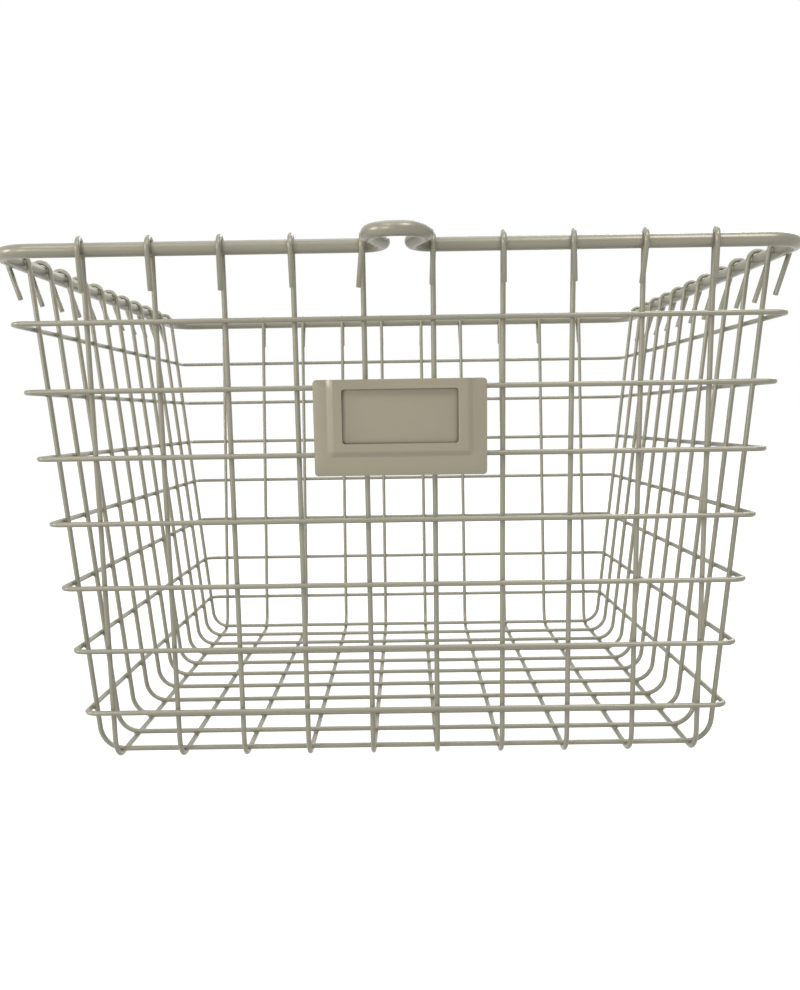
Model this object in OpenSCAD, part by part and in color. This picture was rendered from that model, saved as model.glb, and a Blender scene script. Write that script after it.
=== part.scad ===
// Wire locker basket. A welded mesh of thin wire hangs by its hooked ends from a heavier rim rod,
// the rod is bent into a lock loop at the front, and a card holder sits on the front wall.
// Lengths are millimetres and angles are degrees. The basket stands on z = 0 and its front faces -y.
// The origin is on the ground, under the middle of the overall width and depth.

/* [Rim] */
// Width over the rim rod, side to side.
rim_width = 304.8; // [275:0.1:335]
// Depth over the rim rod, front to back, without the lock loop.
rim_depth = 323.8; // [292:0.1:356]
// Height of the middle of the rim rod above the ground.
rim_height = 199.6; // [180:0.1:220]
// Thickness of the rim rod.
rim_rod_d = 5.26; // [4.5:0.01:6.5]
// Bend of the rim rod at its four corners, to the middle of the rod.
rim_corner_r = 12; // [9:0.1:18]

/* [Lock loop] */
// Clear gap between the two necks of the loop.
neck_gap = 5.2; // [4.5:0.1:7]
// Bend of each neck, to the middle of the rod.
neck_r = 8; // [6:0.1:9]
// Bend of the round front of the loop, to the middle of the rod.
loop_r = 10; // [9.5:0.1:12]
// Angle of each leg of the loop away from straight ahead.
leg_spread = 18.5; // [15:0.1:22]

/* [Butt weld] */
// Length of the weld that closes the rim rod, in the middle of the back.
weld_length = 3; // [2:0.1:6]
// Gap between the ends of the rod, filled by the weld.
weld_gap = 1; // [0.4:0.1:1.5]
// How far the dressed weld still stands proud of the rod.
weld_rise = 0.07; // [0.03:0.01:0.2]

/* [Walls] */
// Lean of the front and back walls, outward from upright.
front_lean = 5.82; // [4:0.01:8]
// Lean of the two side walls, outward from upright.
side_lean = 6.65; // [4:0.01:8]

/* [Mesh wires] */
// Thickness of every mesh wire.
wire_d = 2.03; // [1.6:0.01:2.5]
// Number of long wires, which run down the front, along the floor and up the back.
long_count = 10; // [8:2:10]
// Room on the floor between an outermost long wire and the foot of the side wall.
long_side_room = 6.9; // [5:0.1:9]
// How much further out the outermost long wires stand at the rim than on the floor.
long_splay = 0.7; // [0:0.1:2]
// Bend of the long wires from floor to wall, to the middle of the wire.
long_bend_r = 10.5; // [9:0.1:14]
// Number of cross wires, which run down one side, over the floor and up the other.
cross_count = 11; // [9:1:12]
// Room on the floor between an outermost cross wire and the foot of the front or back wall.
cross_end_room = 6.3; // [5:0.1:10]
// Bend of the cross wires from floor to wall, to the middle of the wire.
cross_bend_r = 10; // [8:0.1:12]
// Number of band wires, each a closed ring round the four walls.
band_count = 7; // [5:1:8]
// Drop from the middle of the rim rod to the middle of the top band.
band_drop = 26.1; // [24:0.1:30]
// Height of the middle of the lowest band above the ground.
band_foot = 21.1; // [18:0.1:26]
// Bend of each band at the corners, to the middle of the wire.
band_corner_r = 5; // [3:0.1:6]

/* [Hooks] */
// Looseness of a hook: how far the middle of its bend stands out from the middle of the rim rod.
hook_gap = 0.4; // [0.2:0.05:0.8]
// Lean of the cut tail of a hook, down and back toward the wall.
tail_lean = 18; // [12:0.5:22]
// Length of the straight tail of each hook of the long wires.
long_tail = 14.3; // [10:0.1:18]
// Length of the straight tail of each hook of the cross wires.
cross_tail = 16.5; // [10:0.1:18]

/* [Card holder] */
// Width over the flanges.
holder_width = 65.4; // [60:0.1:72]
// Height from the top edge to the bottom flange.
holder_height = 36.5; // [34:0.1:40]
// How far the top edge stands above the middle of the second band, along the wall.
holder_overlap = 3.3; // [2:0.1:8]
// Rounding of the corners.
holder_corner_r = 1.4; // [0.8:0.1:2.5]
// Thickness of the sheet metal.
sheet = 0.6; // [0.4:0.05:0.8]
// Width of the flat flange down each side.
side_flange = 5.4; // [4:0.1:7]
// Height of the flat flange along the bottom.
bottom_flange = 7.5; // [5:0.1:8]
// Height of the raised panel above the flanges, which is the room for the card.
panel_rise = 1.2; // [0.8:0.1:1.8]
// Width of the sloping step between each side flange and the raised panel.
side_step = 2.2; // [1:0.1:3]
// Height of the sloping step above the bottom flange.
bottom_step = 2.6; // [1:0.1:3]
// Width of the window.
window_width = 43.8; // [36:0.1:46]
// Height of the window.
window_height = 20.6; // [16:0.1:22]
// Drop from the top edge of the holder to the window.
window_drop = 3.6; // [2.5:0.1:5]
// Rounding of the window's corners.
window_corner_r = 0.6; // [0.3:0.1:1.2]

/* [Hidden] */
$fn = 24;
paint = [0.64, 0.62, 0.56];
// Turn kept past the end of a bend before it is cut square.
spare_turn = 0.02;
// How far a bend may move from its drawn angle to the fair one, and the steps in which that is sought.
fair_range = 0.05;
fair_step = 0.001;
// Room round a cut so that it passes right through.
clear_cut = 1;

front_tilt = 90 - fair_turn(90 - front_lean);
side_tilt = 90 - fair_turn(90 - side_lean);
half_rim_x = (rim_width - rim_rod_d) / 2;
half_rim_y = (rim_depth - rim_rod_d) / 2;
// From the middle of the rim rod to the middle of a wire that touches it.
touch = (rim_rod_d + wire_d) / 2;
hook_r = touch + hook_gap;
// Overhang of a hook outside the middle of the rim rod.
hook_reach = hook_gap * cos(front_tilt) + hook_r + wire_d / 2;

neck_half = (neck_gap + rim_rod_d) / 2;
loop_turn = fair_turn(90 + leg_spread);
leg_tilt = loop_turn - 90;
leg_length = ((neck_r + loop_r) * cos(leg_tilt) - neck_half - neck_r) / sin(leg_tilt);
// From the middle of the straight front rod to the middle of the rod at the front of the loop.
loop_front = neck_r + (neck_r + loop_r) * sin(leg_tilt) + leg_length * cos(leg_tilt) + loop_r;
// The basket stands back, so that the origin is in the middle of the overall depth.
basket_y = (loop_front + rim_rod_d / 2 - hook_reach) / 2;

// Heights of the middles of the floor wires: the cross wires lie on the long wires.
long_z = wire_d / 2;
cross_z = long_z + wire_d;
// From the middle of the basket to the foot of each wall, where its wires would meet the floor wires.
side_foot = wall_out(half_rim_x, side_tilt, rim_height - cross_z);
front_foot = wall_out(half_rim_y, front_tilt, rim_height - long_z);
long_outer = side_foot - long_side_room;
cross_outer = front_foot - cross_end_room;
band_pitch = (rim_height - band_drop - band_foot) / (band_count - 1);
holder_drop = (band_drop + band_pitch) / cos(front_tilt) - holder_overlap;

// From the middle of the basket to the middle of a wall's wires, at a drop below the rim rod.
function wall_out(half_rim, lean, drop) = half_rim - touch / cos(lean) - drop * tan(lean);
// Length that a bend takes up along each of the two lines it joins.
function bend_take(r, lean) = r * tan(45 - lean / 2);
// From the middle of the floor to the start of the bend, for a wire that rises to the rim.
function floor_reach(half_rim, lean, r, rise) = wall_out(half_rim, lean, rise) - bend_take(r, lean);
// Place of wire i in an even row of count wires whose outermost wires stand at -outer and outer.
function place_in_row(i, count, outer) = outer * (2 * (i - 1) / (count - 1) - 1);
// Distance that a wire lies past the point where the crossing wires start to bend.
function past(at, reach) = max(0, abs(at) - reach);
// Rise of a circle of radius r at a distance from its lowest point.
function rise_on(r, distance) = r - sqrt(r * r - distance * distance);
function rounded(length) = round(length * 100) / 100;
function six_figures(v) = let (scale = pow(10, 5 - floor(log(abs(v))))) round(v * scale) / scale;
function unfairness(turn) = abs(pow(six_figures(sin(turn)), 2) + pow(six_figures(cos(turn)), 2) - 1);
// The nearest turn whose sine and cosine, taken to six figures, still lie on the unit circle, so that
// the rod after a bend meets it exactly.
function fair_turn(turn) =
  let (turns = [for (k = [-fair_range:fair_step:fair_range]) turn + k])
  let (least = min([for (t = turns) unfairness(t)]))
  [for (t = turns) if (unfairness(t) == least) t][0];

// A straight length of rod up +z; what follows starts at its end.
module straight(d, length) {
  cylinder(h = length, d = d);
  translate([0, 0, length]) children();
}

module after_bend(r, turn) {
  translate([r, 0, 0])
  rotate([0, turn, 0])
  translate([-r, 0, 0])
  children();
}

// A bend of rod from +z toward +x; what follows starts at its square-cut end.
module bend(d, r, turn) {
  size = 4 * (r + d);
  intersection() {
    translate([r, 0, 0])
    rotate([90, 0, 180])
    rotate_extrude(angle = turn + spare_turn)
    translate([r, 0])
    circle(d = d);
    after_bend(r, turn)
    translate([-size / 2, -size / 2, -size])
    cube(size);
  }
  after_bend(r, turn) children();
}

module other_way() rotate([0, 0, 180]) children();

// Lays a rod drawn up +z along the ground at heading, its bends turned to side:
// 90 is left, -90 is right and 180 is up.
module lay(heading, side) {
  rotate([0, 0, heading])
  rotate([0, 90, 0])
  rotate([0, 0, side])
  children();
}

// A wire that lies along x on the floor, goes up both walls and hooks over the rim rod outward.
// Rise is the height from its floor length to the middle of the rim rod, tail the length of the tails.
module hooked_wire(half_rim, lean, bend_r, rise, tail) {
  half_hook = fair_turn((180 + tail_lean - lean) / 2);
  upright = (rise + touch * sin(lean)) / cos(lean) - bend_take(bend_r, lean);
  for (heading = [0, 180])
    lay(heading, 180)
    straight(wire_d, floor_reach(half_rim, lean, bend_r, rise))
    bend(wire_d, bend_r, 90 - lean)
    straight(wire_d, upright)
    other_way()
    bend(wire_d, hook_r, half_hook)
    bend(wire_d, hook_r, half_hook)
    cylinder(h = tail, d = wire_d);
}

module long_wire(i) {
  floor_x = place_in_row(i, long_count, long_outer);
  splay = place_in_row(i, long_count, long_splay);
  // The outer wires lie where the cross wires already rise, so they are lifted to stay against them.
  cross_reach = floor_reach(half_rim_x, side_tilt, cross_bend_r, rim_height - cross_z);
  lift = rise_on(cross_bend_r + wire_d, past(floor_x, cross_reach));
  rise = rim_height - long_z - lift;
  color(paint)
  translate([floor_x, basket_y, long_z + lift])
  rotate([0, atan(splay / rise), 0])
  rotate([0, 0, 90])
  hooked_wire(half_rim_y, front_tilt, long_bend_r, rise, long_tail);
}

module cross_wire(i) {
  y = place_in_row(i, cross_count, cross_outer);
  // The outer wires lie on the bends of the long wires, a little higher than the rest.
  long_reach = floor_reach(half_rim_y, front_tilt, long_bend_r, rim_height - long_z);
  lift = rise_on(long_bend_r - wire_d, past(y, long_reach));
  color(paint)
  translate([0, basket_y + y, cross_z + lift])
  hooked_wire(half_rim_x, side_tilt, cross_bend_r, rim_height - cross_z - lift, cross_tail);
}

// A ring of wire outside the four walls, made of four mirrored quarters.
module band_wire(i) {
  drop = band_drop + (i - 1) * band_pitch;
  half_x = rounded(wall_out(half_rim_x, side_tilt, drop) + wire_d / cos(side_tilt));
  half_y = rounded(wall_out(half_rim_y, front_tilt, drop) + wire_d / cos(front_tilt));
  color(paint)
  translate([0, basket_y, rim_height - drop])
  for (mirror_x = [0, 1], mirror_y = [0, 1])
    mirror([mirror_x, 0, 0])
    mirror([0, mirror_y, 0])
    translate([0, -half_y, 0])
    lay(0, 90)
    straight(wire_d, half_x - band_corner_r)
    bend(wire_d, band_corner_r, 90)
    cylinder(h = half_y - band_corner_r, d = wire_d);
}

// The left half of the rim rod, from the middle of the lock loop to the butt weld at the back.
module rim_half() {
  front_run = half_rim_x - rim_corner_r - neck_half - neck_r;
  translate([0, -half_rim_y - loop_front, 0])
  lay(180, -90)
  bend(rim_rod_d, loop_r, loop_turn)
  straight(rim_rod_d, leg_length)
  other_way()
  bend(rim_rod_d, neck_r, loop_turn)
  straight(rim_rod_d, front_run)
  other_way()
  bend(rim_rod_d, rim_corner_r, 90)
  straight(rim_rod_d, 2 * (half_rim_y - rim_corner_r))
  bend(rim_rod_d, rim_corner_r, 90)
  cylinder(h = half_rim_x - rim_corner_r - weld_gap / 2, d = rim_rod_d);
}

module rim_rod() {
  color(paint)
  translate([0, basket_y, rim_height]) {
    for (mirror_x = [0, 1])
      mirror([mirror_x, 0, 0])
      rim_half();
    translate([-weld_length / 2, half_rim_y, 0])
    rotate([0, 90, 0])
    cylinder(h = weld_length, d = rim_rod_d + 2 * weld_rise);
  }
}

// Stands its children on the outside of the front wall's bands: x across, y up the wall from the
// level of the rim rod and z straight out.
module on_front_bands() {
  translate([0, basket_y - wall_out(half_rim_y, front_tilt, 0), rim_height])
  rotate([90 + front_tilt, 0, 0])
  translate([0, 0, 1.5 * wire_d])
  children();
}

// A plate with rounded corners, its top edge at y = 0 and its back at z = 0.
module plate(width, height, corner_r, thickness) {
  linear_extrude(thickness)
  translate([0, -height / 2])
  union() {
    square([width, height - 2 * corner_r], center = true);
    square([width - 2 * corner_r, height], center = true);
    for (sx = [-1, 1], sy = [-1, 1])
      translate([sx * (width / 2 - corner_r), sy * (height / 2 - corner_r)])
      circle(r = corner_r);
  }
}

module card_back_plate() {
  color(paint)
  on_front_bands()
  translate([0, -holder_drop, 0])
  plate(holder_width, holder_height, holder_corner_r, sheet);
}

// The solid under the raised panel: sloping steps at both sides and the bottom, open at the top.
module panel_block(over) {
  foot_x = holder_width / 2 - side_flange;
  foot_y = holder_height - bottom_flange;
  intersection() {
    translate([0, over, 0])
    rotate([90, 0, 0])
    linear_extrude(foot_y + over + clear_cut)
    polygon([[-foot_x, 0], [foot_x, 0], [foot_x - side_step, panel_rise], [side_step - foot_x, panel_rise]]);
    translate([-foot_x - clear_cut, 0, 0])
    rotate([90, 0, 90])
    linear_extrude(2 * (foot_x + clear_cut))
    polygon([[-foot_y, 0], [over, 0], [over, panel_rise], [bottom_step - foot_y, panel_rise]]);
  }
}

module card_frame() {
  color(paint)
  on_front_bands()
  translate([0, -holder_drop, sheet])
  difference() {
    union() {
      plate(holder_width, holder_height, holder_corner_r, sheet);
      translate([0, 0, sheet])
      panel_block(0);
    }
    panel_block(clear_cut);
    translate([0, -window_drop, 0])
    plate(window_width, window_height, window_corner_r, panel_rise + sheet + clear_cut);
  }
}

rim_rod();
for (i = [1:long_count])
  long_wire(i);
for (i = [1:cross_count])
  cross_wire(i);
for (i = [1:band_count])
  band_wire(i);
card_back_plate();
card_frame();
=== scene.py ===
import logging
import math
import random
from dataclasses import dataclass
from enum import Enum

import bmesh
import bpy
from mathutils import Matrix, Vector


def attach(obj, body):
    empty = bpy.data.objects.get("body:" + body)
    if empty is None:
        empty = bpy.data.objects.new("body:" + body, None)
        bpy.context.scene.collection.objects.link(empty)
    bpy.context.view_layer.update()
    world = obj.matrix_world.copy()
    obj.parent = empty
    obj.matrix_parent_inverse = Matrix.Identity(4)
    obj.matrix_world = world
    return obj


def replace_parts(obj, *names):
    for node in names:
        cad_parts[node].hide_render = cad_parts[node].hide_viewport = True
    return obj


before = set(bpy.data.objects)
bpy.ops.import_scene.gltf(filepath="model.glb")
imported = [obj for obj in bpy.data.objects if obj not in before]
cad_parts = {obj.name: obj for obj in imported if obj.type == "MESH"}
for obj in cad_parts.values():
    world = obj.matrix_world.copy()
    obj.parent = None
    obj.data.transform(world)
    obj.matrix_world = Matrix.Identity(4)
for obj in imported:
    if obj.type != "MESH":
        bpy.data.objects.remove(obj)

log = logging.getLogger("wire_locker_basket")

MM = 0.001
BODY = "root"


class Side(Enum):
    """The side of a lying rod toward which its bends turn, as a roll about the rod."""

    LEFT = 90
    RIGHT = -90
    UP = 180


# Shader maths


class Sock:
    """A socket that carries a value and can be used in a Python expression."""

    def __init__(self, shader: "Shader", socket: bpy.types.NodeSocket) -> None:
        """Wraps a socket.

        Args:
            shader: The shader whose tree holds the socket.
            socket: The output socket.
        """
        self.shader = shader
        self.socket = socket

    def _math(self, operation: str, *values: "Sock | float") -> "Sock":
        """Adds a Math node.

        Args:
            operation: The operation of the Math node.
            values: Its inputs, in order.

        Returns:
            The node's result.
        """
        return self.shader.node("ShaderNodeMath", {"operation": operation}, dict(enumerate(values)))

    def __add__(self, other: "Sock | float") -> "Sock":
        """Sum."""
        return self._math("ADD", self, other)

    __radd__ = __add__

    def __mul__(self, other: "Sock | float") -> "Sock":
        """Product."""
        return self._math("MULTIPLY", self, other)

    __rmul__ = __mul__

    def __sub__(self, other: "Sock | float") -> "Sock":
        """Difference."""
        return self._math("SUBTRACT", self, other)

    def __rsub__(self, other: "Sock | float") -> "Sock":
        """Difference with the socket second."""
        return self._math("SUBTRACT", other, self)

    def __pow__(self, other: "Sock | float") -> "Sock":
        """Power."""
        return self._math("POWER", self, other)

    def clamp(self) -> "Sock":
        """Held between 0 and 1."""
        return self.shader.node("ShaderNodeClamp", {}, {"Value": self})


class Shader:
    """Builds one node material."""

    def __init__(self, name: str) -> None:
        """Starts a material with a Principled shader and Object coordinates.

        Args:
            name: The material's name.
        """
        self.material = bpy.data.materials.new(name)
        self.material.use_nodes = True
        self.tree = self.material.node_tree
        self.surface = self.tree.nodes["Principled BSDF"]
        self.place = self.node("ShaderNodeTexCoord", {}, {}, "Object")

    def node(self, kind: str, settings: dict, values: dict, output: str | int = 0) -> Sock:
        """Adds any node.

        Args:
            kind: The node's type.
            settings: Attributes set first; "stops" holds a ramp's (position, colour) pairs.
            values: Values or sockets of its inputs, by name or number.
            output: The output that is returned.

        Returns:
            The chosen output.
        """
        made = self.tree.nodes.new(kind)
        for key, value in settings.items():
            if key == "stops":
                self._stops(made.color_ramp, value)
            else:
                setattr(made, key, value)
        for key, value in values.items():
            self._feed(made.inputs[key], value)
        return Sock(self, made.outputs[output])

    def set(self, **values: object) -> None:
        """Feeds the Principled shader; an input's spaces are written as underscores."""
        for key, value in values.items():
            self._feed(self.surface.inputs[key.replace("_", " ")], value)

    def noise(self, size_mm: float, detail: float = 2.0, rough: float = 0.5) -> Sock:
        """Noise on the object.

        Args:
            size_mm: The rough size of its patches.
            detail: Layers of finer noise.
            rough: Strength of the finer layers.

        Returns:
            The noise's value, about 0 to 1.
        """
        values = {"Vector": self.place, "Scale": 1 / (size_mm * MM), "Detail": detail, "Roughness": rough}
        return self.node("ShaderNodeTexNoise", {}, values, "Fac")

    def band(self, value: Sock, low: float, high: float) -> Sock:
        """A smooth rise from 0 at low to 1 at high."""
        values = {"Value": value, "From Min": low, "From Max": high}
        return self.node("ShaderNodeMapRange", {"interpolation_type": "SMOOTHSTEP"}, values)

    def mix(self, share: "Sock | float", first: "Sock | tuple", second: "Sock | tuple") -> Sock:
        """A colour between two.

        Args:
            share: The second colour's share.
            first: The colour at 0.
            second: The colour at 1.

        Returns:
            The mixed colour.
        """
        values = {0: share, 6: first, 7: second}
        return self.node("ShaderNodeMix", {"data_type": "RGBA"}, values, 2)

    def bump(self, height: Sock, depth_mm: float, normal: "Sock | None" = None) -> Sock:
        """A normal bent by a height.

        Args:
            height: The height, 0 to 1.
            depth_mm: What a height of 1 stands for.
            normal: The normal it is laid on, or the surface's own.

        Returns:
            The bent normal.
        """
        values = {"Height": height, "Distance": depth_mm * MM, "Strength": 1.0}
        if normal is not None:
            values["Normal"] = normal
        return self.node("ShaderNodeBump", {}, values)

    def _feed(self, socket: bpy.types.NodeSocket, value: object) -> None:
        """Links a socket or sets its value."""
        if isinstance(value, Sock):
            self.tree.links.new(value.socket, socket)
        elif isinstance(value, tuple) and len(value) == 3 and socket.type == "RGBA":
            socket.default_value = (*value, 1.0)
        else:
            socket.default_value = value

    @staticmethod
    def _stops(ramp: bpy.types.ColorRamp, stops: list) -> None:
        """Sets the stops of a colour ramp."""
        while len(ramp.elements) < len(stops):
            ramp.elements.new(1.0)
        for element, (position, colour) in zip(ramp.elements, stops):
            element.position = position
            element.color = (*colour, 1.0)


@dataclass(frozen=True)
class SatinEnamel:
    """Baked satin enamel with a little metal in it.

    Attributes:
        colour: Base colour, linear.
        thin: Colour where the coat is thin, linear.
        metallic: Share of metal in the coat.
        roughness: Middle roughness.
        peel_mm: Height of the orange peel.
        peel_size_mm: Size of the orange peel.
    """

    colour: tuple[float, float, float] = (0.345, 0.325, 0.255)
    thin: tuple[float, float, float] = (0.30, 0.285, 0.225)
    metallic: float = 0.25
    roughness: float = 0.33
    peel_mm: float = 0.02
    peel_size_mm: float = 1.6

    def material(self, name: str) -> bpy.types.Material:
        """Builds the finish as a material.

        Args:
            name: The material's name.

        Returns:
            The material.
        """
        s = Shader(name)
        cloud = s.band(s.noise(38.0, 3.0), 0.35, 0.65)
        grain = s.noise(0.45, 2.0, 0.6)
        fleck = s.band(s.noise(0.22, 1.0), 0.6, 0.75)
        tone = s.mix(cloud * 0.5, self.colour, self.thin)
        lively = s.mix(fleck * 0.12, tone, tuple(min(1.0, c * 1.5) for c in self.colour))
        s.set(Base_Color=lively, Metallic=self.metallic, IOR=1.5)
        s.set(Roughness=(self.roughness - 0.04) + 0.05 * cloud + 0.05 * grain)
        peel = s.noise(self.peel_size_mm, 1.0)
        s.set(Normal=s.bump(grain, self.peel_mm * 0.15, s.bump(peel, self.peel_mm)))
        return s.material


# Rods and wires


class Rod:
    """A round rod drawn in the order in which it is bent, along +Z of a moving place.

    The sizes are millimetres until the rod is turned into a piece.
    """

    def __init__(self, diameter: float, place: Matrix, sides: int = 16) -> None:
        """Starts the rod with one open ring.

        Args:
            diameter: The rod's thickness.
            place: Where it starts; +Z is its heading and +X the side that it bends to.
            sides: Corners of its section.
        """
        self.bm = bmesh.new()
        self.radius = diameter / 2
        self.place = place.copy()
        bmesh.ops.create_circle(self.bm, cap_ends=False, radius=self.radius, segments=sides, matrix=place)
        self.verts, self.edges = self.bm.verts[:], self.bm.edges[:]

    def _advance(self, geometry: list) -> None:
        """Takes the open ring from what an operator returned."""
        kept = [g for g in geometry if isinstance(g, bmesh.types.BMVert)]
        known = set(kept)
        self.edges = [g for g in geometry if isinstance(g, bmesh.types.BMEdge) and known.issuperset(g.verts)]
        self.verts = kept

    def straight(self, length: float, parts: int = 1) -> "Rod":
        """Goes straight on.

        Args:
            length: The length.
            parts: Rings along it.

        Returns:
            The rod.
        """
        step = self.place.to_3x3() @ Vector((0, 0, length / parts))
        for _ in range(parts):
            self._advance(bmesh.ops.extrude_edge_only(self.bm, edges=self.edges)["geom"])
            bmesh.ops.translate(self.bm, verts=self.verts, vec=step)
        self.place = self.place @ Matrix.Translation((0, 0, length))
        return self

    def bend(self, radius: float, turn: float, steps: int) -> "Rod":
        """Bends toward +X of its place.

        Args:
            radius: Of the bend, to the middle of the rod.
            turn: In degrees.
            steps: Rings along it.

        Returns:
            The rod.
        """
        angle = math.radians(turn)
        centre = self.place @ Vector((radius, 0, 0))
        axis = self.place.to_3x3() @ Vector((0, 1, 0))
        swept = bmesh.ops.spin(
            self.bm,
            geom=self.verts + self.edges,
            cent=centre,
            axis=axis,
            dvec=(0, 0, 0),
            angle=angle,
            steps=steps,
            use_merge=False,
            use_duplicate=False,
        )
        self._advance(swept["geom_last"])
        there, back = Matrix.Translation((radius, 0, 0)), Matrix.Translation((-radius, 0, 0))
        self.place = self.place @ there @ Matrix.Rotation(angle, 4, "Y") @ back
        return self

    def roll(self, turn: float) -> "Rod":
        """Turns the side to which the rod bends."""
        self.place = self.place @ Matrix.Rotation(math.radians(turn), 4, "Z")
        return self

    def cut(self, chamfer: float) -> "Rod":
        """Ends the rod in a cut face with a softened rim.

        Args:
            chamfer: Width of the softened rim.

        Returns:
            The rod.
        """
        for along, inward in ((0.6, 0.25), (0.4, 0.8)):
            self.swell(chamfer * along, 1 - inward * chamfer / self.radius)
        bmesh.ops.edgeloop_fill(self.bm, edges=self.edges)
        return self

    def sway(self, turn: float) -> "Rod":
        """Leans the rod to the side of its bends by a short bend, toward +Y when positive."""
        side = math.copysign(90, turn)
        return self.roll(side).bend(2.5, abs(turn), 2).roll(-side)

    def swell(self, length: float, size: float) -> "Rod":
        """Goes straight on to a ring of another thickness.

        Args:
            length: The length.
            size: The ring's thickness beside the last ring's.

        Returns:
            The rod.
        """
        self.straight(length)
        middle = Matrix.Translation(-self.place.translation)
        bmesh.ops.scale(self.bm, vec=(size, size, size), space=middle, verts=self.verts)
        return self

    def close(self) -> "Rod":
        """Welds the last ring to the first."""
        bmesh.ops.remove_doubles(self.bm, verts=self.bm.verts, dist=0.01)
        return self


def lay(place: Matrix, heading: float, side: Side) -> Matrix:
    """The start of a rod that lies on the ground.

    Args:
        place: The place whose ground it lies on.
        heading: Its heading, in degrees from +X.
        side: The side to which its bends turn.

    Returns:
        The rod's first place.
    """
    turn = Matrix.Rotation(math.radians(heading), 4, "Z")
    down = Matrix.Rotation(math.radians(90), 4, "Y")
    return place @ turn @ down @ Matrix.Rotation(math.radians(side.value), 4, "Z")


def piece(bm: bmesh.types.BMesh, name: str, material: bpy.types.Material) -> bpy.types.Object:
    """Turns a finished bmesh in millimetres into a piece of the part.

    Args:
        bm: The mesh, which is freed.
        name: The piece's name.
        material: Its finish.

    Returns:
        The new object.
    """
    bmesh.ops.recalc_face_normals(bm, faces=bm.faces)
    bmesh.ops.scale(bm, vec=(MM, MM, MM), verts=bm.verts)
    mesh = bpy.data.meshes.new(name)
    bm.to_mesh(mesh)
    bm.free()
    mesh.materials.append(material)
    made = bpy.data.objects.new(name, mesh)
    bpy.context.scene.collection.objects.link(made)
    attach(made, BODY)
    log.info("%s: %d faces", name, len(mesh.polygons))
    return made


def shade_smooth(bm: bmesh.types.BMesh, sharpest: float = 40.0) -> None:
    """Smooths every face, and keeps the edges past an angle sharp.

    Args:
        bm: The mesh.
        sharpest: The angle, in degrees.
    """
    for face in bm.faces:
        face.smooth = True
    for edge in bm.edges:
        edge.smooth = not (edge.is_manifold and edge.calc_face_angle(0.0) > math.radians(sharpest))


@dataclass
class Sizes:
    """The sizes of the basket in millimetres and degrees, as in the part's source."""

    rim_width: float = 304.8
    rim_depth: float = 323.8
    rim_height: float = 199.6
    rim_rod_d: float = 5.26
    rim_corner_r: float = 14.0
    neck_gap: float = 5.2
    neck_r: float = 8.0
    loop_r: float = 10.0
    loop_turn: float = 108.494
    front_tilt: float = 5.845
    side_tilt: float = 6.652
    wire_d: float = 2.03
    long_count: int = 10
    long_side_room: float = 6.9
    long_splay: float = 0.7
    long_bend_r: float = 10.5
    cross_count: int = 11
    cross_end_room: float = 6.3
    cross_bend_r: float = 10.0
    band_count: int = 7
    band_drop: float = 26.1
    band_foot: float = 21.1
    band_corner_r: float = 5.0
    hook_gap: float = 0.4
    tail_lean: float = 18.0
    long_tail: float = 14.3
    cross_tail: float = 16.5

    def __post_init__(self) -> None:
        """Works out the sizes that follow from the others."""
        self.half_x = (self.rim_width - self.rim_rod_d) / 2
        self.half_y = (self.rim_depth - self.rim_rod_d) / 2
        self.touch = (self.rim_rod_d + self.wire_d) / 2
        self.hook_r = self.touch + self.hook_gap
        self.neck_half = (self.neck_gap + self.rim_rod_d) / 2
        leg = math.radians(self.loop_turn - 90)
        both = self.neck_r + self.loop_r
        self.leg_length = (both * math.cos(leg) - self.neck_half - self.neck_r) / math.sin(leg)
        reach = both * math.sin(leg) + self.leg_length * math.cos(leg)
        self.loop_front = self.neck_r + reach + self.loop_r
        overhang = self.hook_gap * math.cos(math.radians(self.front_tilt)) + self.hook_r
        self.basket_y = (self.loop_front + self.rim_rod_d / 2 - overhang - self.wire_d / 2) / 2
        self.long_z = self.wire_d / 2
        self.cross_z = self.long_z + self.wire_d
        self.side_foot = self.wall_out(self.half_x, self.side_tilt, self.rim_height - self.cross_z)
        self.front_foot = self.wall_out(self.half_y, self.front_tilt, self.rim_height - self.long_z)
        self.long_outer = self.side_foot - self.long_side_room
        self.cross_outer = self.front_foot - self.cross_end_room
        self.band_pitch = (self.rim_height - self.band_drop - self.band_foot) / (self.band_count - 1)

    def wall_out(self, half_rim: float, tilt: float, drop: float) -> float:
        """Distance from the middle to a wall's wires.

        Args:
            half_rim: From the middle to the rim rod.
            tilt: The wall's lean, in degrees.
            drop: How far below the rim rod.

        Returns:
            The distance to the middle of the wires.
        """
        lean = math.radians(tilt)
        return half_rim - self.touch / math.cos(lean) - drop * math.tan(lean)

    def floor_reach(self, half_rim: float, tilt: float, bend_r: float, rise: float) -> float:
        """From the middle of the floor to the start of a wire's bend."""
        take = bend_r * math.tan(math.radians(45 - tilt / 2))
        return self.wall_out(half_rim, tilt, rise) - take

    @staticmethod
    def row(i: int, count: int, outer: float) -> float:
        """Place of one wire in an even row, counted from 1."""
        return outer * (2 * (i - 1) / (count - 1) - 1)

    @staticmethod
    def rise_on(radius: float, distance: float) -> float:
        """Rise of a circle at a distance from its lowest point, or nothing before it."""
        return radius - math.sqrt(radius * radius - max(0.0, distance) ** 2)


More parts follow.
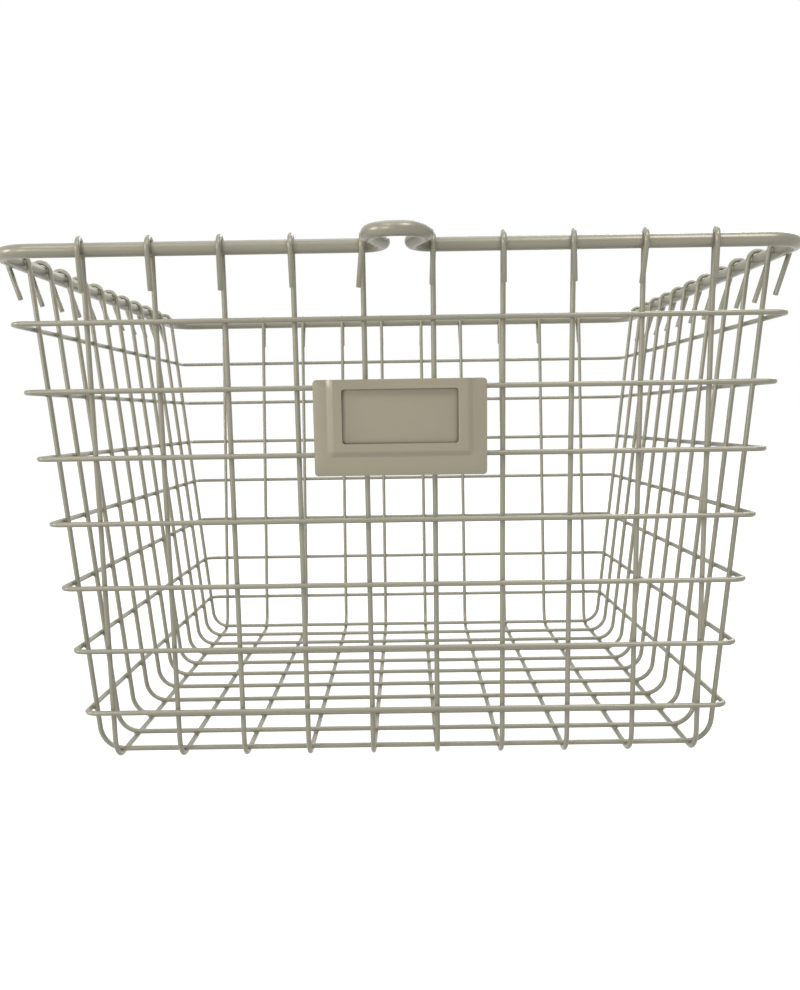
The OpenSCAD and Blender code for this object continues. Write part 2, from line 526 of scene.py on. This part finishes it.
@dataclass
class RimRod:
    """The heavy rim rod with its lock loop, closed by a butt weld at the back.

    Attributes:
        sizes: The basket's sizes.
        sides: Corners of the rod's section.
        weld: Steps of the dressed weld from end to end, each a length and a ring's thickness beside
            the last one's.
    """

    sizes: Sizes
    sides: int = 32
    weld: tuple = (
        (0.25, 1.016),
        (0.45, 1.008),
        (0.4, 0.997),
        (0.4, 1.003),
        (0.4, 0.996),
        (0.4, 1.004),
        (0.45, 0.992),
        (0.25, 0.984),
    )

    def build(self, material: bpy.types.Material) -> None:
        """Builds the rod and its weld.

        Args:
            material: The finish.
        """
        z = self.sizes
        start = Matrix.Translation((0, z.basket_y - z.half_y - z.loop_front, z.rim_height))
        rod = Rod(z.rim_rod_d, lay(start, 180, Side.RIGHT), self.sides)
        self._bends(rod)
        rod.close()
        shade_smooth(rod.bm)
        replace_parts(piece(rod.bm, "rim_rod_drawn", material), "rim_rod")

    def _bends(self, rod: Rod) -> None:
        """Bends the rim from the front of the loop, round the back and to the loop again.

        Args:
            rod: The rod at the front of the loop.
        """
        z = self.sizes
        run = z.half_x - z.rim_corner_r - z.neck_half - z.neck_r
        half_back = z.half_x - z.rim_corner_r - sum(length for length, _ in self.weld) / 2
        rod.bend(z.loop_r, z.loop_turn, 30).straight(z.leg_length, 2)
        rod.roll(180).bend(z.neck_r, z.loop_turn, 26).straight(run, 8)
        rod.roll(180).bend(z.rim_corner_r, 90, 22)
        rod.straight(2 * (z.half_y - z.rim_corner_r), 12).bend(z.rim_corner_r, 90, 22)
        rod.straight(half_back, 6)
        for length, size in self.weld:
            rod.swell(length, size)
        rod.straight(half_back, 6).bend(z.rim_corner_r, 90, 22)
        rod.straight(2 * (z.half_y - z.rim_corner_r), 12).bend(z.rim_corner_r, 90, 22)
        rod.straight(run, 8).roll(180).bend(z.neck_r, z.loop_turn, 26)
        rod.straight(z.leg_length, 2).roll(180).bend(z.loop_r, z.loop_turn, 30)


@dataclass(frozen=True)
class Tail:
    """How one hook came out of the bending.

    Attributes:
        length: Of its straight tail.
        twist: Turn of the hook about the upright, in degrees.
        sway: Sideways lean of the tail, in degrees, to the right seen from outside when positive.
    """

    length: float
    twist: float = 0.0
    sway: float = 0.0


FRONT_TAILS = (
    Tail(14.6, -5.0, -0.8),
    Tail(14.5, 0.0, -1.0),
    Tail(14.7, 0.0, -1.6),
    Tail(14.2),
    Tail(14.3, 0.0, -6.0),
    Tail(13.8, 0.0, -2.2),
    Tail(13.4, 3.0, 1.0),
    Tail(13.4, 7.0, 2.4),
    Tail(14.5, 5.0, -4.0),
    Tail(13.1, 8.0, 0.8),
)


@dataclass
class MeshWires:
    """The long and the cross wires, each hooked over the rim rod at both ends.

    Attributes:
        sizes: The basket's sizes.
        sides: Corners of a wire's section.
        burr: Width of the softened rim of a cut end.
        left_short: How much shorter the tails on the left side are cut.
        seed: Of the small differences between the hooks that the photograph doesn't show.
    """

    sizes: Sizes
    sides: int = 14
    burr: float = 0.16
    left_short: float = 3.2
    seed: int = 4

    def build(self, material: bpy.types.Material) -> None:
        """Builds every hooked wire.

        Args:
            material: The finish.
        """
        z = self.sizes
        chance = random.Random(self.seed)
        cross_reach = z.floor_reach(z.half_x, z.side_tilt, z.cross_bend_r, z.rim_height - z.cross_z)
        for i in range(1, z.long_count + 1):
            x = z.row(i, z.long_count, z.long_outer)
            lift = z.rise_on(z.cross_bend_r + z.wire_d, abs(x) - cross_reach)
            rise = z.rim_height - z.long_z - lift
            lean = math.atan(z.row(i, z.long_count, z.long_splay) / rise)
            place = Matrix.Translation((x, z.basket_y, z.long_z + lift)) @ Matrix.Rotation(lean, 4, "Y")
            place = place @ Matrix.Rotation(math.radians(90), 4, "Z")
            tails = (self._any_tail(chance, z.long_tail), FRONT_TAILS[i - 1])
            rod = self._wire(place, z.half_y, z.front_tilt, z.long_bend_r, rise, tails)
            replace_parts(piece(rod, f"long_wire_{i}_drawn", material), f"long_wire_{i}")
        long_reach = z.floor_reach(z.half_y, z.front_tilt, z.long_bend_r, z.rim_height - z.long_z)
        for i in range(1, z.cross_count + 1):
            y = z.row(i, z.cross_count, z.cross_outer)
            lift = z.rise_on(z.long_bend_r - z.wire_d, abs(y) - long_reach)
            place = Matrix.Translation((0, z.basket_y + y, z.cross_z + lift))
            rise = z.rim_height - z.cross_z - lift
            lengths = (z.cross_tail, z.cross_tail - self.left_short)
            tails = tuple(self._any_tail(chance, length) for length in lengths)
            rod = self._wire(place, z.half_x, z.side_tilt, z.cross_bend_r, rise, tails)
            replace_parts(piece(rod, f"cross_wire_{i}_drawn", material), f"cross_wire_{i}")

    @staticmethod
    def _any_tail(chance: random.Random, length: float) -> Tail:
        """A hook that differs a little from the next.

        Args:
            chance: The seeded source of differences.
            length: The usual length of the tail.

        Returns:
            The hook's tail.
        """
        return Tail(length + chance.uniform(-0.4, 0.4), chance.uniform(-3, 3), chance.uniform(-2, 2))

    def _wire(
        self,
        place: Matrix,
        half_rim: float,
        tilt: float,
        bend_r: float,
        rise: float,
        tails: tuple[Tail, Tail],
    ) -> bmesh.types.BMesh:
        """Builds one wire as two halves that meet in the middle of the floor.

        Args:
            place: The middle of the wire's floor length; the wire lies along +X.
            half_rim: From the middle to the rim rod.
            tilt: The walls' lean, in degrees.
            bend_r: The bend from floor to wall.
            rise: From the wire to the middle of the rim rod.
            tails: The tail at the +X end and the one at the -X end.

        Returns:
            The wire's mesh.
        """
        z = self.sizes
        lean = math.radians(tilt)
        hook = 180 + z.tail_lean - tilt
        floor = z.floor_reach(half_rim, tilt, bend_r, rise)
        take = bend_r * math.tan(math.radians(45 - tilt / 2))
        upright = (rise + z.touch * math.sin(lean)) / math.cos(lean) - take
        joined = bmesh.new()
        for heading, tail in zip((0, 180), tails):
            rod = Rod(z.wire_d, lay(place, heading, Side.UP), self.sides)
            rod.straight(floor, 6).bend(bend_r, 90 - tilt, 10).straight(upright, 8).roll(180 - tail.twist)
            rod.bend(z.hook_r, hook, 24).sway(tail.sway).straight(tail.length - self.burr, 3).cut(self.burr)
            spare = bpy.data.meshes.new("half")
            rod.bm.to_mesh(spare)
            rod.bm.free()
            joined.from_mesh(spare)
            bpy.data.meshes.remove(spare)
        bmesh.ops.remove_doubles(joined, verts=joined.verts, dist=0.01)
        shade_smooth(joined)
        return joined


@dataclass
class Bands:
    """The closed rings of wire round the four walls."""

    sizes: Sizes
    sides: int = 14

    def build(self, material: bpy.types.Material) -> None:
        """Builds every band.

        Args:
            material: The finish.
        """
        z = self.sizes
        for i in range(1, z.band_count + 1):
            drop = z.band_drop + (i - 1) * z.band_pitch
            out_x = z.wire_d / math.cos(math.radians(z.side_tilt))
            out_y = z.wire_d / math.cos(math.radians(z.front_tilt))
            half_x = z.wall_out(z.half_x, z.side_tilt, drop) + out_x
            half_y = z.wall_out(z.half_y, z.front_tilt, drop) + out_y
            start = Matrix.Translation((0, z.basket_y - half_y, z.rim_height - drop))
            rod = Rod(z.wire_d, lay(start, 0, Side.LEFT), self.sides)
            rod.straight(half_x - z.band_corner_r, 5)
            for run in (half_y, half_x, half_y):
                rod.bend(z.band_corner_r, 90, 10).straight(2 * (run - z.band_corner_r), 10)
            rod.bend(z.band_corner_r, 90, 10).straight(half_x - z.band_corner_r, 5).close()
            shade_smooth(rod.bm)
            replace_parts(piece(rod.bm, f"band_wire_{i}_drawn", material), f"band_wire_{i}")


@dataclass
class CrossingWelds:
    """The small welds where two wires cross, and where each hook touches the rim rod.

    Attributes:
        sizes: The basket's sizes.
        reach: How far a weld spreads from the point where the wires touch.
        swell: How far it fills the gap on either side of that point.
    """

    sizes: Sizes
    reach: float = 1.2
    swell: float = 0.5

    def build(self, material: bpy.types.Material) -> None:
        """Builds the welds of the floor, of the walls and of the rim.

        Args:
            material: The finish.
        """
        z = self.sizes
        drop_shape = bmesh.new()
        bmesh.ops.create_uvsphere(drop_shape, u_segments=10, v_segments=5, radius=1)
        self.bead = bpy.data.meshes.new("bead")
        drop_shape.to_mesh(self.bead)
        drop_shape.free()
        columns = [z.row(i, z.long_count, z.long_outer) for i in range(1, z.long_count + 1)]
        rows = [z.row(i, z.cross_count, z.cross_outer) for i in range(1, z.cross_count + 1)]
        drops = [z.band_drop + i * z.band_pitch for i in range(z.band_count)]
        floor = bmesh.new()
        for x in columns:
            for y in rows:
                self._bead(floor, Vector((x, z.basket_y + y, self._floor_touch(x, y))), Vector((0, 0, 1)))
        self._end(floor, "floor_welds", material)
        walls, rim = bmesh.new(), bmesh.new()
        for side in (-1, 1):
            for x in columns:
                out = self._outward(z.front_tilt)
                for drop in (*drops, 0):
                    far = z.wall_out(z.half_y, z.front_tilt, drop)
                    splay = x / z.long_outer * z.long_splay * (1 - drop / z.rim_height)
                    middle = Vector((x + splay, far, z.rim_height - drop))
                    self._wall_bead(walls, rim, middle, Vector((0, out.x, out.y)), side, drop)
            for y in rows:
                out = self._outward(z.side_tilt)
                for drop in (*drops, 0):
                    far = z.wall_out(z.half_x, z.side_tilt, drop)
                    middle = Vector((far, y, z.rim_height - drop))
                    self._wall_bead(walls, rim, middle, Vector((out.x, 0, out.y)), side, drop)
        self._end(walls, "wall_welds", material)
        self._end(rim, "rim_welds", material)
        bpy.data.meshes.remove(self.bead)

    def _floor_touch(self, x: float, y: float) -> float:
        """Height at which the wires of one crossing of the floor touch.

        Args:
            x: Place of the long wire.
            y: Place of the cross wire.

        Returns:
            The height.
        """
        z = self.sizes
        cross_reach = z.floor_reach(z.half_x, z.side_tilt, z.cross_bend_r, z.rim_height - z.cross_z)
        long_reach = z.floor_reach(z.half_y, z.front_tilt, z.long_bend_r, z.rim_height - z.long_z)
        lift_x = z.rise_on(z.cross_bend_r + z.wire_d, abs(x) - cross_reach)
        lift_y = z.rise_on(z.long_bend_r - z.wire_d, abs(y) - long_reach)
        return z.wire_d + lift_x + lift_y

    @staticmethod
    def _outward(tilt: float) -> Vector:
        """The outward direction of a wall, as its level and its upright share."""
        lean = math.radians(tilt)
        return Vector((math.cos(lean), -math.sin(lean)))

    def _wall_bead(
        self,
        walls: bmesh.types.BMesh,
        rim: bmesh.types.BMesh,
        middle: Vector,
        out: Vector,
        side: int,
        drop: float,
    ) -> None:
        """Adds the weld of one upright with a band or, at no drop, with the rim rod.

        Args:
            walls: The mesh of the welds on the bands.
            rim: The mesh of the welds on the rim rod.
            middle: The middle of the upright, on the right or back wall, from the basket's middle.
            out: That wall's outward direction.
            side: 1 for that wall and -1 for the one across from it.
            drop: How far below the rim rod.
        """
        z = self.sizes
        axis = 0 if out.x else 1
        if drop:
            at = middle + out * (z.wire_d / 2)
        else:
            rod = middle.copy()
            rod[axis] = z.half_x if out.x else z.half_y
            at = rod - out * (z.rim_rod_d / 2)
        if side < 0:
            at[axis] *= -1
            out = Vector((-out.x, -out.y, out.z))
        at.y += z.basket_y
        self._bead(walls if drop else rim, at, out)

    def _bead(self, bm: bmesh.types.BMesh, at: Vector, across: Vector) -> None:
        """Adds one weld, a flattened drop between the two pieces.

        Args:
            bm: The mesh.
            at: The point where they touch.
            across: From the middle of one toward the middle of the other.
        """
        turn = across.to_track_quat("Z", "Y").to_matrix().to_4x4()
        size = Matrix.Diagonal((self.reach, self.reach, self.swell, 1))
        place = Matrix.Translation(at) @ turn @ size
        self.bead.transform(place)
        bm.from_mesh(self.bead)
        self.bead.transform(place.inverted())

    def _end(self, bm: bmesh.types.BMesh, name: str, material: bpy.types.Material) -> None:
        """Turns the welds of one place into a piece."""
        shade_smooth(bm, 80)
        piece(bm, name, material)


@dataclass
class CardHolder:
    """The sheet-metal card holder, a flat plate and the frame pressed to stand off from it.

    Attributes:
        soft: Half the width over which the press rounds a bend.
        edge: Width of the softened edges of the cut sheet.
    """

    sizes: Sizes
    width: float = 65.4
    height: float = 36.5
    overlap: float = 3.3
    corner_r: float = 1.4
    sheet: float = 0.6
    side_flange: float = 5.4
    bottom_flange: float = 7.5
    panel_rise: float = 1.2
    side_step: float = 1.8
    bottom_step: float = 1.9
    window_width: float = 43.8
    window_height: float = 20.6
    window_drop: float = 3.6
    window_corner_r: float = 1.1
    soft: float = 0.45
    edge: float = 0.12

    def build(self, material: bpy.types.Material) -> None:
        """Builds the plate and the frame.

        Args:
            material: The finish.
        """
        self._end(self._blank(), 0.0, "card_back_plate", material)
        frame_sheet = self._blank()
        self._press(frame_sheet)
        self._end(frame_sheet, self.sheet, "card_frame", material)

    def _blank(self) -> bmesh.types.BMesh:
        """The cut sheet with its rounded corners, its top edge at y = 0."""
        bm = bmesh.new()
        bmesh.ops.create_grid(bm, x_segments=1, y_segments=1, size=0.5)
        bmesh.ops.scale(bm, vec=(self.width, self.height, 1), verts=bm.verts)
        bmesh.ops.translate(bm, vec=(0, -self.height / 2, 0), verts=bm.verts)
        self._round(bm, bm.verts[:], self.corner_r, 8)
        return bm

    @staticmethod
    def _round(bm: bmesh.types.BMesh, corners: list, radius: float, segments: int) -> None:
        """Rounds the given corners of a flat sheet."""
        bmesh.ops.bevel(
            bm,
            geom=corners,
            offset=radius,
            segments=segments,
            profile=0.5,
            affect="VERTICES",
            material=-1,
        )

    def _press(self, bm: bmesh.types.BMesh) -> None:
        """Cuts the window and raises the panel with its sloping steps.

        Args:
            bm: The cut sheet.
        """
        foot_x = self.width / 2 - self.side_flange
        foot_y = self.bottom_flange - self.height
        half_window = self.window_width / 2
        sill = -self.window_drop - self.window_height
        for x in (half_window, *self._cuts(foot_x, self.side_step)):
            for side in (-1, 1):
                self._slice(bm, (side * x, 0, 0), (1, 0, 0))
        for y in (-self.window_drop, sill, *(-c for c in self._cuts(-foot_y, self.bottom_step))):
            self._slice(bm, (0, y, 0), (0, 1, 0))
        corners = [
            v
            for v in bm.verts
            if abs(abs(v.co.x) - half_window) < 0.01
            and min(abs(v.co.y + self.window_drop), abs(v.co.y - sill)) < 0.01
        ]
        self._round(bm, corners, self.window_corner_r, 5)
        middle = (0, (sill - self.window_drop) / 2)
        hole = [f for f in bm.faces if (f.calc_center_median().xy - Vector(middle)).length < 1]
        bmesh.ops.delete(bm, geom=hole, context="FACES")
        for v in bm.verts:
            rise_x = self._eased(foot_x - abs(v.co.x), self.side_step)
            v.co.z = self.panel_rise * rise_x * self._eased(v.co.y - foot_y, self.bottom_step)

    def _cuts(self, foot: float, step: float) -> list[float]:
        """Places of the lines along which the sheet may bend, past both ends of a step.

        Args:
            foot: Distance of the foot of the step from the middle or the top edge.
            step: Width of the step.

        Returns:
            The lines' distances.
        """
        count = 14
        span = step + 2 * self.soft
        return [foot + self.soft - span * (k / count) for k in range(-1, count + 2)]

    def _eased(self, way: float, step: float) -> float:
        """Height along a step with rounded bends.

        Args:
            way: Distance past the foot of the step.
            step: Width of the step.

        Returns:
            The share of the full rise.
        """

        def area(u: float) -> float:
            """Area under a straight ramp from 0 to 1 over the step, up to u."""
            if u <= 0:
                return 0.0
            return u * u / (2 * step) if u < step else u - step / 2

        return (area(way + self.soft) - area(way - self.soft)) / (2 * self.soft)

    @staticmethod
    def _slice(bm: bmesh.types.BMesh, at: tuple, across: tuple) -> None:
        """Cuts the faces along a plane and keeps both sides."""
        geometry = bm.verts[:] + bm.edges[:] + bm.faces[:]
        bmesh.ops.bisect_plane(bm, geom=geometry, dist=0.001, plane_co=at, plane_no=across)

    def _end(self, bm: bmesh.types.BMesh, out: float, node: str, material: bpy.types.Material) -> None:
        """Gives the sheet its thickness and stands it on the bands.

        Args:
            bm: The sheet's outer face.
            out: How far the back of the sheet stands out from the bands.
            node: The CAD node that it stands for.
            material: The finish.
        """
        z = self.sizes
        bmesh.ops.recalc_face_normals(bm, faces=bm.faces)
        bmesh.ops.solidify(bm, geom=bm.faces[:], thickness=self.sheet)
        sharp = [e for e in bm.edges if e.is_manifold and e.calc_face_angle(0.0) > math.radians(60)]
        bmesh.ops.bevel(
            bm, geom=sharp, offset=self.edge, segments=2, profile=0.5, affect="EDGES", material=-1
        )
        lowest = min(v.co.z for v in bm.verts)
        drop = (z.band_drop + z.band_pitch) / math.cos(math.radians(z.front_tilt)) - self.overlap
        top = Vector((0, z.basket_y - z.wall_out(z.half_y, z.front_tilt, 0), z.rim_height))
        stand = Matrix.Translation(top) @ Matrix.Rotation(math.radians(90 + z.front_tilt), 4, "X")
        move = Matrix.Translation((0, -drop, 1.5 * z.wire_d + out - lowest))
        bmesh.ops.transform(bm, matrix=stand @ move, verts=bm.verts)
        shade_smooth(bm, 25)
        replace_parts(piece(bm, f"{node}_drawn", material), node)


# Stage, light and camera


@dataclass(frozen=True)
class Studio:
    """A pale floor in a white room, soft lamps and the camera of the photograph."""

    floor_size: float = 60.0
    lens: float = 39.0
    direct: tuple[str, str, str] = ("Camera", "Glossy", "Transmission")

    def build(self) -> None:
        """Builds the floor, the light and the camera."""
        self._floor()
        self._world()
        self._lamp("top", (0.0, 0.3, 1.7), 1.2, 6.0, (0.93, 0.98, 1.0))
        self._lamp("back", (0.75, 1.3, 1.2), 0.9, 15.0, (0.93, 0.98, 1.0))
        self._lamp("right", (0.6, -1.05, 1.45), 0.6, 10.0, (1.0, 0.98, 0.95))
        self._lamp("left", (-0.6, -1.05, 1.45), 0.6, 4.2, (1.0, 0.98, 0.95))
        self._lamp("key", (-0.95, -1.5, 0.35), 0.5, 5.0, (1.0, 0.97, 0.92))
        self._lamp("side", (-1.6, -0.55, 0.5), 0.5, 8.0, (1.0, 0.97, 0.92))
        self._camera()

    def _floor(self) -> None:
        """A large plain floor that looks white and keeps the basket's shadow."""
        bm = bmesh.new()
        bmesh.ops.create_grid(bm, x_segments=1, y_segments=1, size=self.floor_size / 2)
        mesh = bpy.data.meshes.new("floor")
        bm.to_mesh(mesh)
        bm.free()
        floor = bpy.data.objects.new("floor", mesh)
        bpy.context.scene.collection.objects.link(floor)
        s = Shader("floor_white")
        s.set(Base_Color=(0.4, 0.4, 0.39), Roughness=0.9, Specular_IOR_Level=0.1)
        seen = [s.node("ShaderNodeLightPath", {}, {}, f"Is {kind} Ray") for kind in self.direct]
        s.set(Emission_Color=(seen[0] + seen[1] + seen[2]) * 0.92, Emission_Strength=1.0)
        mesh.materials.append(s.material)

    def _world(self) -> None:
        """White where the camera or a reflection sees it, softer as light."""
        world = bpy.data.worlds.new("room")
        world.use_nodes = True
        bpy.context.scene.world = world
        nodes, links = world.node_tree.nodes, world.node_tree.links
        light = nodes["Background"]
        light.inputs["Color"].default_value = (0.98, 0.99, 1.0, 1.0)
        light.inputs["Strength"].default_value = 0.22
        white = nodes.new("ShaderNodeBackground")
        white.inputs["Strength"].default_value = 1.0
        white.inputs["Color"].default_value = (1.0, 1.0, 1.0, 1.0)
        path = nodes.new("ShaderNodeLightPath")
        blend = nodes.new("ShaderNodeMixShader")
        share = path.outputs[f"Is {self.direct[0]} Ray"]
        for kind in self.direct[1:]:
            most = nodes.new("ShaderNodeMath")
            most.operation = "MAXIMUM"
            links.new(share, most.inputs[0])
            links.new(path.outputs[f"Is {kind} Ray"], most.inputs[1])
            share = most.outputs[0]
        links.new(share, blend.inputs[0])
        links.new(light.outputs[0], blend.inputs[1])
        links.new(white.outputs[0], blend.inputs[2])
        links.new(blend.outputs[0], nodes["World Output"].inputs["Surface"])

    @staticmethod
    def _lamp(
        name: str,
        at: tuple[float, float, float],
        size: float,
        power: float,
        colour: tuple[float, float, float],
    ) -> None:
        """A square soft box aimed at the basket.

        Args:
            name: The lamp's name.
            at: Where it stands.
            size: Its edge.
            power: In watts.
            colour: Of its light.
        """
        data = bpy.data.lights.new(name, "AREA")
        data.shape, data.size, data.energy, data.color = "SQUARE", size, power, colour
        lamp = bpy.data.objects.new(name, data)
        lamp.location = at
        aim = Vector((0, 0, 0.1)) - Vector(at)
        lamp.rotation_euler = aim.to_track_quat("-Z", "Y").to_euler()
        bpy.context.scene.collection.objects.link(lamp)

    def _camera(self) -> None:
        """The camera of the photograph."""
        yaw, pitch, roll = -0.0064, -0.0718, -0.0155
        ahead = Vector((math.sin(yaw) * math.cos(pitch), math.cos(yaw) * math.cos(pitch), math.sin(pitch)))
        right = Vector((math.cos(yaw), -math.sin(yaw), 0))
        up = right.cross(ahead)
        across = right * math.cos(roll) + up * math.sin(roll)
        upward = up * math.cos(roll) - right * math.sin(roll)
        data = bpy.data.cameras.new("camera")
        data.lens, data.sensor_width, data.sensor_fit = self.lens, 36.0, "AUTO"
        camera = bpy.data.objects.new("camera", data)
        turn = Matrix((across, upward, -ahead)).transposed().to_4x4()
        camera.matrix_world = Matrix.Translation((0.00205, -0.5415, 0.13642)) @ turn
        bpy.context.scene.collection.objects.link(camera)
        bpy.context.scene.camera = camera


def main() -> None:
    """Builds the basket and its studio."""
    logging.basicConfig(level=logging.INFO, format="%(message)s")
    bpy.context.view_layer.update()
    sizes = Sizes()
    enamel = SatinEnamel()
    rim_finish = enamel.material("rim_enamel")
    wire_finish = enamel.material("wire_enamel")
    holder_finish = SatinEnamel((0.38, 0.348, 0.26), (0.355, 0.325, 0.245)).material("holder_enamel")
    RimRod(sizes).build(rim_finish)
    MeshWires(sizes).build(wire_finish)
    Bands(sizes).build(wire_finish)
    CrossingWelds(sizes).build(wire_finish)
    CardHolder(sizes).build(holder_finish)
    Studio().build()
    bpy.context.scene.view_settings.view_transform = "Standard"


if __name__ == "__main__":
    main()
